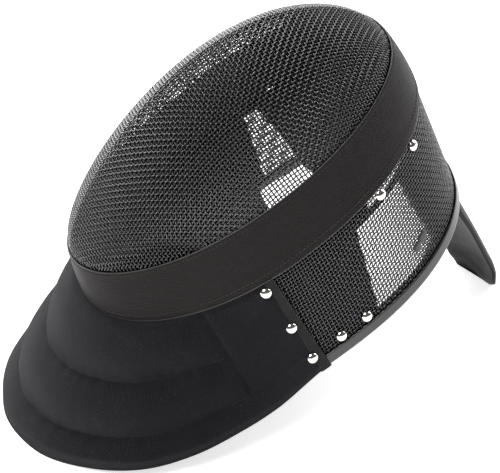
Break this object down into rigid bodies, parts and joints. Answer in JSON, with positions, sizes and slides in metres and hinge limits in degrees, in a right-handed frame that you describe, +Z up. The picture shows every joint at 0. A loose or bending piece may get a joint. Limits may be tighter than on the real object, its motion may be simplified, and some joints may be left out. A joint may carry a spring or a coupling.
{
  "type": "fencing mask",
  "caption": "Domed wire mesh face guard with a wide trim band, a padded cloth throat bib, domed side rivets, an inner lining and a spring tongue behind the head.",
  "frame": {"origin": "centre of the bounding box at the floor, with the mask resting by itself on the front of its bib's hem and on the tip of its tongue", "axes": "+Z up, the face to -Y, the wearer's left to +X, and the wearer's right to -X"},
  "size_m": [0.259, 0.4294, 0.2831],
  "materials": {
    "black_steel_wire": "black enamelled steel wire, satin",
    "satin_black_steel": "satin black steel strip",
    "bright_chrome": "polished",
    "black_band": "coated woven band, soft sheen",
    "navy_black_cloth": "matte twill",
    "charcoal_tape": "matte woven tape",
    "black_lining": "matte padded cloth",
    "black_leather": "semi-matte leather"
  },
  "bodies": {
    "root": {"front_mesh": "black_steel_wire", "side_mesh": "black_steel_wire", "trim_band": "black_band", "rear_rim": "satin_black_steel", "bib": "navy_black_cloth", "bib_binding_left": "charcoal_tape", "bib_binding_right": "charcoal_tape", "lining": "black_lining", "forehead_pad": "black_lining", "cheek_flap_left": "black_lining", "cheek_flap_right": "black_lining", "tongue": "black_leather", "strap_tab_left": "black_leather", "strap_tab_right": "black_leather", "rivet_left_1": "bright_chrome", "rivet_left_2": "bright_chrome", "rivet_left_3": "bright_chrome", "rivet_left_4": "bright_chrome", "rivet_left_5": "bright_chrome", "rivet_left_6": "bright_chrome", "rivet_left_7": "bright_chrome", "rivet_right_1": "bright_chrome", "rivet_right_2": "bright_chrome", "rivet_right_3": "bright_chrome", "rivet_right_4": "bright_chrome", "rivet_right_5": "bright_chrome", "rivet_right_6": "bright_chrome", "rivet_right_7": "bright_chrome"}
  },
  "joints": []
}
